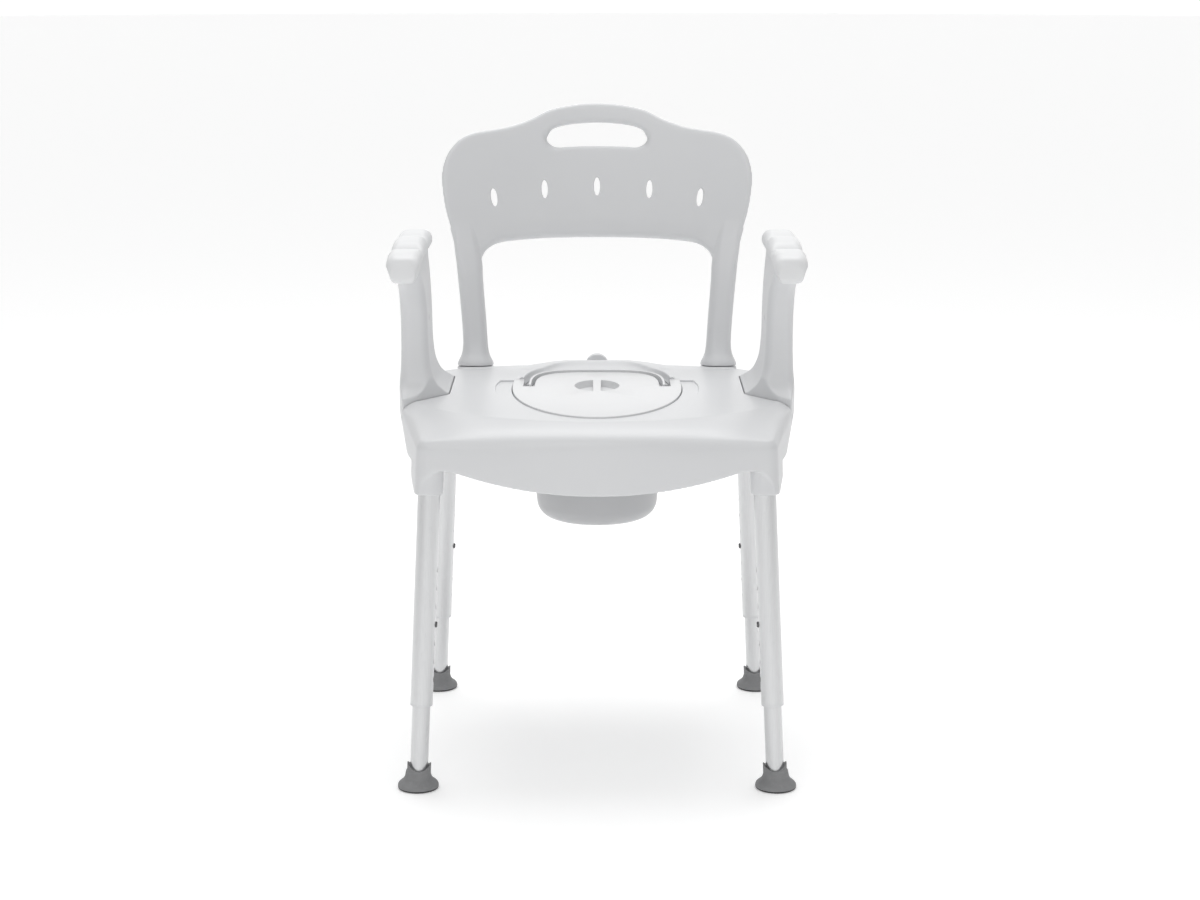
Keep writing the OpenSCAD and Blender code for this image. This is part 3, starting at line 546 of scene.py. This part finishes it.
def makeBackrest():
    b = backForm
    back = panelSlab("backPanel", b["front"], b["rear"], 0, b["roll"])
    hollow = panelSlab("backHollow", b["front"] + b["skin"], b["rear"] + 20, b["rim"])
    cut(hollow, block("lowerRim", atSeat(-300, -40, 0), atSeat(300, 60, b["lowEdge"] + b["lowRim"])))
    cut(hollow, loft("slotRim", [standing(carrySlot(b["slotRim"]), y) for y in (-30, 60)]))
    cut(back, hollow)
    for side in (-1, 1):
        rows = curveThrough(b["posts"], steps=3)
        rings = []
        for v, off, half, front, rear, radius in rows:
            x = side * (spot["postX"] + off)
            rings.append(softBox((x - half, front), (x + half, rear), radius, v))
        add(back, loft("post", rings))
    edge = b["slotEdge"]
    turns = [math.radians(a) for a in range(0, 91, 15)]
    steps = [(edge * (1 - math.sin(a)), b["front"] + edge * (1 - math.cos(a))) for a in turns]
    slotCut = [(edge + 6, b["front"] - 4)] + steps + [(0, b["rear"] - 3), (3, b["rear"] + 2)]
    cut(back, loft("carrySlot", [standing(carrySlot(grow), y) for grow, y in slotCut]))
    soften(back, b["voxel"], b["rounds"], b["triangles"])
    # the lip rolls back along the lower edge, then the whole panel bows round the sitter
    full = math.sqrt(b["bow"] ** 2 - spot["postX"] ** 2)
    for vert in back.data.vertices:
        x, y, v = vert.co.x / mm, (vert.co.y - midY) / mm, (vert.co.z - seatTop) / mm
        low = b["lowEdge"] - b["lowArc"] + math.sqrt(b["lowArc"] ** 2 - x * x)
        fade = min(1, max(0, (b["lipHalf"] - abs(x)) / b["lipFade"]))
        t = min(1, max(0, 1 - (v - low) / b["lipHeight"])) * fade
        y += b["lipDepth"] * (1 - math.sqrt(1 - t * t)) * (b["rear"] - y) / (b["rear"] - b["front"])
        bend = min(1, max(0, (v - b["bendFrom"]) / b["bendOver"]))
        y += (math.sqrt(b["bow"] ** 2 - x * x) - full) * bend * bend * (3 - 2 * bend)
        vert.co.y = midY + y * mm
    for x, v, tilt in b["drains"]:
        face = b["front"] + math.sqrt(b["bow"] ** 2 - x * x) - full
        for side in (-1, 1) if x else (1,):
            rings = [standing(drainOutline(side * x, v, -side * tilt, grow), face + y)
                for y, grow in b["drainSteps"]]
            cut(back, loft("drain", rings))
    for side in (-1, 1):
        add(back, uprightRod("spigot", side * spot["postX"], 0, -b["spigotLength"], 3, b["spigot"]))
    lean = Matrix.Rotation(math.radians(-spot["lean"]), 4, "X")
    hinge = Matrix.Translation(atSeat(0, spot["backY"], 0))
    back.data.transform(hinge @ lean @ Matrix.Translation(-atSeat(0, 0, 0)))
    return shadeSmooth(back)


backrest = makeBackrest()
print("backrest", len(backrest.data.polygons), "faces")


# ---- armrests and their pads

armForm = {
    # height, inner and outer side, front and rear, corner radius
    "base": ((-24.6, 205.4, 274.5, -75.4, 131.4, 3), (0.5, 205.4, 274.5, -75.4, 131.4, 3),
        (2.6, 207.4, 274.3, -72, 128.5, 6), (8, 212.6, 273.6, -60, 120, 10),
        (20, 221.6, 271.6, -46, 101, 12), (40, 228.2, 270, -40.5, 86, 13),
        (62, 230.6, 269.2, -38.6, 79.5, 13)),
    "column": ((52, 230, 269.4, -39, 82, 13), (75, 231.3, 269, -38, 78, 13),
        (110, 231.8, 269, -39.5, 76.5, 13),
        (145, 233.4, 269.8, -50, 81, 13), (168, 236, 271, -72, 93, 12.5), (184, 238.6, 272, -98, 108, 12),
        (193, 239.6, 272.4, -106, 114, 11)),
    "plug": (233, 106, 4.1), "plugDepth": 12.6, "tongue": 8.6, "tongueEnd": -54.5, "clearance": 0.3,
    "voxel": 0.0015, "rounds": 8, "triangles": 60000,
}
padForm = {
    "x": 257, "under": 193.2,
    # place along the arm, half width, lowest and highest point, how far the underside stands in
    "rows": (
        (-136.6, 15, 181, 193, 0), (-135.6, 18, 176.5, 199, 3), (-132, 21, 172.5, 204.5, 7),
        (-124, 22.6, 170.6, 208.4, 9), (-114, 23, 171, 210.2, 9), (-106, 23, 175, 210.6, 8),
        (-99, 23, 184, 210.6, 4), (-93, 23, 193.2, 210.4, 0), (-78, 23, 193.2, 210, 0),
        (-62, 22.8, 193.2, 209, 0), (-52, 22.4, 193.2, 206.6, 0), (-46, 22, 193.2, 204.6, 0),
        (-41, 22.4, 193.2, 209, 0), (-32, 22.9, 193.2, 214.6, 0), (-16, 23, 193.2, 216.8, 0),
        (0, 23, 193.2, 217.2, 0), (18, 23, 193.2, 216.8, 0), (33, 22.9, 193.2, 214.2, 0),
        (41, 22.4, 193.2, 209.6, 0), (46, 22, 193.2, 206.6, 0), (51, 22.4, 193.2, 209.4, 0),
        (60, 22.9, 193.2, 213.4, 0), (78, 23, 193.2, 215.4, 0), (100, 23, 193.2, 215.6, 0),
        (118, 22.9, 193.2, 213.8, 0), (129, 22, 193.2, 210.6, 0), (135, 19, 193.4, 205, 0),
        (136.6, 15, 195, 200, 0),
    ),
    "shoulder": 14, "edge": 4,
}


def makeArmrest(side):
    a = armForm
    parts = []
    for level in ("base", "column"):
        rings = []
        for z, inner, outer, front, rear, radius in curveThrough(a[level], steps=4):
            low, high = sorted((side * inner, side * outer))
            rings.append(softBox((low, front), (high, rear), radius, z))
        parts.append(loft(level, rings))
    arm, column = parts
    gap = a["clearance"]
    keepInside(arm, pocketTool("base", side, pocket["floor"] + gap, 70, -0.4))
    keepInside(arm, loft("besideSeat", [shellRing(12, gap, -40), shellRing(12, gap, 80)]))
    add(arm, column)
    soften(arm, a["voxel"], a["rounds"], a["triangles"])
    inner, plugZ, plugRadius = a["plug"]
    start, end = atSeat(side * (inner - 12), 0, plugZ), atSeat(side * (inner + a["plugDepth"]), 0, plugZ)
    cut(arm, rod("plugBore", start, end, plugRadius * mm))
    x = side * spot["tongueX"]
    for y in spot["tongueYs"]:
        add(arm, uprightRod("tongue", x, y, a["tongueEnd"], spot["boreTop"], a["tongue"]))
    arm.name = "armrestLeft" if side < 0 else "armrestRight"
    return shadeSmooth(arm)


def makePad(side):
    p = padForm
    rings = []
    for y, half, low, high, tuck in curveThrough(p["rows"], steps=3):
        shoulder, edge = min(p["shoulder"], (high - low) * 0.62), min(p["edge"], (high - low) * 0.3)
        corners = ((half - shoulder, high - shoulder, shoulder, 0),
            (shoulder - half, high - shoulder, shoulder, 90),
            (edge - half, low + edge, edge, 180), (half - edge, low + edge, edge, 270))
        ring = []
        for cx, cz, radius, start in corners:
            for k in range(9):
                angle = math.radians(start + 90 * k / 8)
                x, z = cx + radius * math.cos(angle), cz + radius * math.sin(angle)
                if z < p["under"]:
                    x -= math.copysign(tuck * (p["under"] - z) / 23, x)
                ring.append(atSeat(side * p["x"] + x, y, z))
        rings.append(ring)
    pad = loft("armPadLeft" if side < 0 else "armPadRight", rings)
    return shadeSmooth(pad, 50)


arms = {side: (makeArmrest(x), makePad(x)) for side, x in (("left", -1), ("right", 1))}
print("armrests and pads made")


# ---- pan, bail and lid keep their frame shapes, with eased edges

def easedCopy(node, name, width, segments=3, sharp=30):
    bm = bmesh.new()
    bm.from_mesh(nodes[node].data)
    bmesh.ops.remove_doubles(bm, verts=bm.verts, dist=2e-6)
    bmesh.ops.dissolve_limit(bm, angle_limit=math.radians(0.5), use_dissolve_boundaries=False, verts=bm.verts,
        edges=bm.edges)
    edges = [e for e in bm.edges if len(e.link_faces) == 2 and e.calc_face_angle(0) > math.radians(sharp)]
    bmesh.ops.bevel(bm, geom=edges, offset=width * mm, offset_type="OFFSET", segments=segments, profile=0.5,
        affect="EDGES", material=-1, clamp_overlap=True)
    bmesh.ops.triangulate(bm, faces=bm.faces)
    piece = asPiece(bm, name)
    piece.data.materials.clear()
    return shadeSmooth(piece, 40)


eased = {"lid": 0.7, "pan": 0.8, "pan_bail": 0.7}
vessel = {}
for node, width in eased.items():
    vessel[node] = easedCopy(node, "eased" + node.title().replace("_", ""), width)
print("lid, pan and bail eased")


# ---- feet

footForm = {
    "profile": ((0, 0), (25.8, 0), (26.9, 0.7), (27.5, 2), (27.5, 4.6), (26.9, 6.4), (25.2, 8.4),
        (22.4, 10.4), (19.8, 12.8), (18, 16), (17, 20), (16.4, 25), (0, 25)),
    "cup": 16, "top": 36, "bore": 12.2, "boreFrom": 6, "scallop": 19, "scallopUp": 9,
    "voxel": 0.0009, "rounds": 4, "triangles": 24000,
}


def makeFoot(name):
    f = footForm
    centre = middle(f"leg_{name}_foot")
    foot = turned("foot" + name.title().replace("_", ""), f["profile"], Vector((centre.x, centre.y, 0)), 96)
    add(foot, rod("cup", onLeg(name, 1 * mm), onLeg(name, f["top"] * mm), f["cup"] * mm, segments=96))
    soften(foot, f["voxel"], f["rounds"], f["triangles"])
    low, high = onLeg(name, f["boreFrom"] * mm), onLeg(name, (f["top"] + 30) * mm)
    cut(foot, rod("bore", low, high, f["bore"] * mm, segments=96))
    rim, across = onLeg(name, (f["top"] + f["scallopUp"]) * mm), Vector((0, 0.04, 0))
    cut(foot, rod("scallop", rim - across, rim + across, f["scallop"] * mm, segments=96))
    return shadeSmooth(foot)


feet = {name: makeFoot(name) for name in legNames}
print("feet made")


# ---- finishes

class Field:  # one socket's value, so that sums of fields read as sums
    def __init__(self, paint, socket):
        self.paint = paint
        self.socket = socket

    def sum(self, operation, first, second=None, clamp=False):
        values = {0: first} if second is None else {0: first, 1: second}
        return self.paint.node("Math", {"operation": operation, "use_clamp": clamp}, values)

    def __add__(self, other):
        return self.sum("ADD", self, other)

    def __sub__(self, other):
        return self.sum("SUBTRACT", self, other)

    def __mul__(self, other):
        return self.sum("MULTIPLY", self, other)

    def __truediv__(self, other):
        return self.sum("DIVIDE", self, other)

    def __lt__(self, other):
        return self.sum("LESS_THAN", self, other)

    def __radd__(self, other):
        return self.sum("ADD", other, self)

    def __rsub__(self, other):
        return self.sum("SUBTRACT", other, self)

    def __rmul__(self, other):
        return self.sum("MULTIPLY", other, self)

    def __rtruediv__(self, other):
        return self.sum("DIVIDE", other, self)

    def clamped(self):
        return self.sum("ADD", self, 0, clamp=True)


class Paint:
    def __init__(self, name):
        self.material = bpy.data.materials.new(name)
        self.material.use_nodes = True
        self.tree = self.material.node_tree
        self.shader = self.tree.nodes["Principled BSDF"]
        self.place = self.node("TexCoord", output="Object")

    def join(self, socket, value):
        if isinstance(value, Field):
            self.tree.links.new(value.socket, socket)
        else:
            socket.default_value = value

    def node(self, kind, settings=None, values=None, output=0):
        made = self.tree.nodes.new("ShaderNode" + kind)
        for key, value in (settings or {}).items():
            setattr(made, key, value)
        for key, value in (values or {}).items():
            self.join(made.inputs[key], value)
        return Field(self, made.outputs[output])

    def noise(self, scale, detail=3, roughness=0.5, stretch=None):  # a field from 0 to 1
        place = self.place
        if stretch is not None:
            place = self.node("Mapping", values={"Vector": place, "Scale": stretch})
        values = {"Vector": place, "Scale": scale, "Detail": detail, "Roughness": roughness}
        return self.node("TexNoise", values=values)

    def between(self, amount, dark, light):  # a colour between two
        return self.node("Mix", {"data_type": "RGBA"}, {0: amount, 6: (*dark, 1), 7: (*light, 1)}, output=2)

    def height(self, field):
        return self.node("SeparateXYZ", values={0: self.place}, output=field)

    def finish(self, colour, roughness, bump, strength, distance, fixed):
        self.join(self.shader.inputs["Base Color"], colour)
        self.join(self.shader.inputs["Roughness"], roughness)
        normal = self.node("Bump", values={"Height": bump, "Strength": strength, "Distance": distance})
        self.join(self.shader.inputs["Normal"], normal)
        for key, value in fixed.items():
            self.shader.inputs[key].default_value = value
        return self.material


# darker colour, lighter colour and roughness
plasticLook = {
    "shell": ((0.645, 0.652, 0.664), (0.675, 0.681, 0.69), 0.30),
    "pads": ((0.70, 0.706, 0.714), (0.73, 0.735, 0.742), 0.34),
    "vessel": ((0.70, 0.705, 0.713), (0.73, 0.734, 0.741), 0.27),
    # the bowl's colours are the vessel plastic painted darker: painted shade for the pan where it sits under
    # the seat
    "bowl": ((0.47, 0.475, 0.485), (0.52, 0.525, 0.535), 0.3),
}


def mouldedPlastic(name):
    dark, light, gloss = plasticLook[name]
    paint = Paint(name + "Plastic")
    cloud = paint.noise(7, 4, 0.55)
    grain = paint.noise(1500, 2, 0.6)
    ripple = paint.noise(38, 2, 0.4)
    scuffs = (paint.noise(60, 5, 0.7, (1, 1, 0.25)) - 0.62).clamped()
    handled = (paint.noise(22, 4, 0.6) - 0.5).clamped()
    colour = paint.between((cloud * 0.9 + grain * 0.1 - scuffs * 0.6).clamped(), dark, light)
    roughness = gloss + cloud * 0.08 + scuffs * 0.5 + handled * 0.12
    return paint.finish(colour, roughness, grain * 0.35 + ripple * 1.2 - scuffs * 0.8, 0.22, 0.0004,
        {"IOR": 1.49, "Coat Weight": 0.05, "Coat Roughness": 0.25})


def brushedTube():
    paint = Paint("satinAluminium")
    streaks = paint.noise(900, 3, 0.6, (1, 1, 0.012))
    bands = paint.noise(60, 2, 0.5, (1, 1, 0.05))
    marks = (paint.noise(120, 4, 0.7, (1, 1, 0.6)) - 0.6).clamped()
    shade = (streaks * 0.6 + bands * 0.4 - marks).clamped()
    colour = paint.between(shade, (0.56, 0.565, 0.57), (0.76, 0.765, 0.77))
    roughness = 0.27 + streaks * 0.16 + marks * 0.6
    return paint.finish(colour, roughness, streaks + marks, 0.12, 0.0003, {"Metallic": 1.0, "IOR": 1.5})


def footRubber():
    paint = Paint("greyRubber")
    cloud = paint.noise(60, 4, 0.6)
    grain = paint.noise(1300, 3, 0.6)
    dust = (paint.noise(170, 5, 0.7) - 0.52).clamped()
    worn = (0.009 - paint.height("Z")) * 90
    # the lowest 2.6 mm of each foot is coloured near-black
    lowestBand = paint.height("Z") < 0.0026
    shade = (cloud * 0.5 + dust * 1.6 + worn.clamped() * 0.2).clamped()
    body = paint.between(shade, (0.2, 0.202, 0.206), (0.31, 0.312, 0.317))
    black = (0.025, 0.025, 0.026, 1)
    colour = paint.node("Mix", {"data_type": "RGBA"}, {0: lowestBand, 6: body, 7: black}, output=2)
    return paint.finish(colour, 0.55 + cloud * 0.2 + dust * 0.6, grain + dust * 2, 0.35, 0.0005, {"IOR": 1.5})


def darkSteel():
    paint = Paint("darkSteel")
    cloud = paint.noise(300, 3, 0.6)
    rubs = (paint.noise(900, 4, 0.7) - 0.5).clamped()
    colour = paint.between((cloud * 0.6 + rubs * 1.2).clamped(), (0.09, 0.09, 0.093), (0.27, 0.27, 0.275))
    roughness = 0.3 + cloud * 0.2 + rubs * 0.4
    return paint.finish(colour, roughness, cloud + rubs, 0.2, 0.0002, {"Metallic": 0.9, "IOR": 1.5})


looks = {
    "shell_plastic": mouldedPlastic("shell"), "pad_plastic": mouldedPlastic("pads"),
    "pan_plastic": mouldedPlastic("vessel"), "aluminium": brushedTube(), "foot_rubber": footRubber(),
    "steel": darkSteel(),
}


def standFor(piece, node, body, finish):
    piece.data.materials.clear()
    piece.data.materials.append(looks[finish])
    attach(piece, body)
    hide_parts(node)


standFor(seat, "seat", "root", "shell_plastic")
standFor(backrest, "backrest", "backrest", "shell_plastic")
for side, (arm, pad) in arms.items():
    standFor(arm, f"armrest_{side}", f"armrest_{side}", "shell_plastic")
    standFor(pad, f"armrest_{side}_pad", f"armrest_{side}", "pad_plastic")
for node, piece in vessel.items():
    standFor(piece, node, node, "pan_plastic")
# the pan takes a darker copy of its own plastic, painted shade for where it sits under the seat
vessel["pan"].material_slots[0].material = mouldedPlastic("bowl")
for name, foot in feet.items():
    standFor(foot, f"leg_{name}_foot", f"leg_{name}", "foot_rubber")

# the frame's own pieces that stay, by how their names end
kept = {
    "outer_tube": "aluminium", "inner_tube": "aluminium", "bushing": "shell_plastic", "plug": "shell_plastic",
    "button": "steel", "spring": "steel", "screws": "steel",
}
for node, thing in nodes.items():
    if thing.hide_render:
        continue
    finish = next(look for ending, look in kept.items() if node.endswith(ending))
    for material in thing.material_slots:
        material.material = looks[finish]
print("finishes on", len(nodes), "nodes")


# ---- camera, light and floor

stage = {
    "lens": 73.77, "shift": 0.0025, "camera": (0, -3.36, 1.131), "tilt": 12.02,
    "sky": 1.06, "sides": 0.22, "behindCamera": 0.62, "floorGlow": 0.2,
    # name, place, aim, size and power
    "lamps": (("overhead", (0, 0.7, 3.2), (0, 0.1, 0.5), (2.4, 2), 36),
        ("front", (-0.5, -3.2, 2), (0, 0, 0.5), (1.6, 1.6), 13)),
}


def makeStage():
    scene = bpy.context.scene
    lens = bpy.data.cameras.new("camera")
    lens.sensor_width = 36
    lens.lens = stage["lens"]
    lens.shift_x = stage["shift"]
    camera = bpy.data.objects.new("camera", lens)
    camera.location = Vector(stage["camera"]) + Vector((0, midY, 0))
    camera.rotation_euler = (math.radians(90 - stage["tilt"]), 0, 0)
    scene.collection.objects.link(camera)
    scene.camera = camera

    bm = bmesh.new()
    bmesh.ops.create_circle(bm, cap_ends=True, segments=64, radius=30)
    floor = asPiece(bm, "floor")
    paint = Paint("paleFloor")
    soft = paint.noise(1.5, 2, 0.5)
    floor.data.materials.append(paint.finish(paint.between(soft, (0.92, 0.92, 0.92), (0.94, 0.94, 0.94)),
        0.55 + soft * 0.1, soft, 0.02, 0.001,
        {"Emission Color": (1, 1, 1, 1), "Emission Strength": stage["floorGlow"]}))

    # a white room that is dimmer to the left and right, and behind the camera
    world = bpy.data.worlds.new("studio")
    world.use_nodes = True
    tree = world.node_tree
    background = tree.nodes["Background"]
    direction = tree.nodes.new("ShaderNodeTexCoord")
    split = tree.nodes.new("ShaderNodeSeparateXYZ")
    size = tree.nodes.new("ShaderNodeMath")
    size.operation = "ABSOLUTE"
    both = tree.nodes.new("ShaderNodeMath")
    both.operation = "MULTIPLY"
    falls = []
    for ends in ((0.35, 0.95, stage["sky"], stage["sides"]), (-0.9, 0, stage["behindCamera"], 1)):
        fall = tree.nodes.new("ShaderNodeMapRange")
        fall.interpolation_type = "SMOOTHSTEP"
        for key, value in zip(("From Min", "From Max", "To Min", "To Max"), ends):
            fall.inputs[key].default_value = value
        falls.append(fall)
    tree.links.new(direction.outputs["Generated"], split.inputs[0])
    tree.links.new(split.outputs["X"], size.inputs[0])
    tree.links.new(size.outputs[0], falls[0].inputs["Value"])
    tree.links.new(split.outputs["Y"], falls[1].inputs["Value"])
    tree.links.new(falls[0].outputs[0], both.inputs[0])
    tree.links.new(falls[1].outputs[0], both.inputs[1])
    tree.links.new(both.outputs[0], background.inputs["Strength"])
    background.inputs["Color"].default_value = (1, 1, 1, 1)
    scene.world = world

    for name, place, aim, size, power in stage["lamps"]:
        light = bpy.data.lights.new(name, "AREA")
        light.shape = "RECTANGLE"
        light.size, light.size_y = size
        light.energy = power
        lamp = bpy.data.objects.new(name, light)
        lamp.location = place
        lamp.rotation_euler = (Vector(aim) - Vector(place)).to_track_quat("-Z", "Y").to_euler()
        scene.collection.objects.link(lamp)
    scene.view_settings.view_transform = "Standard"


makeStage()
print("stage set")
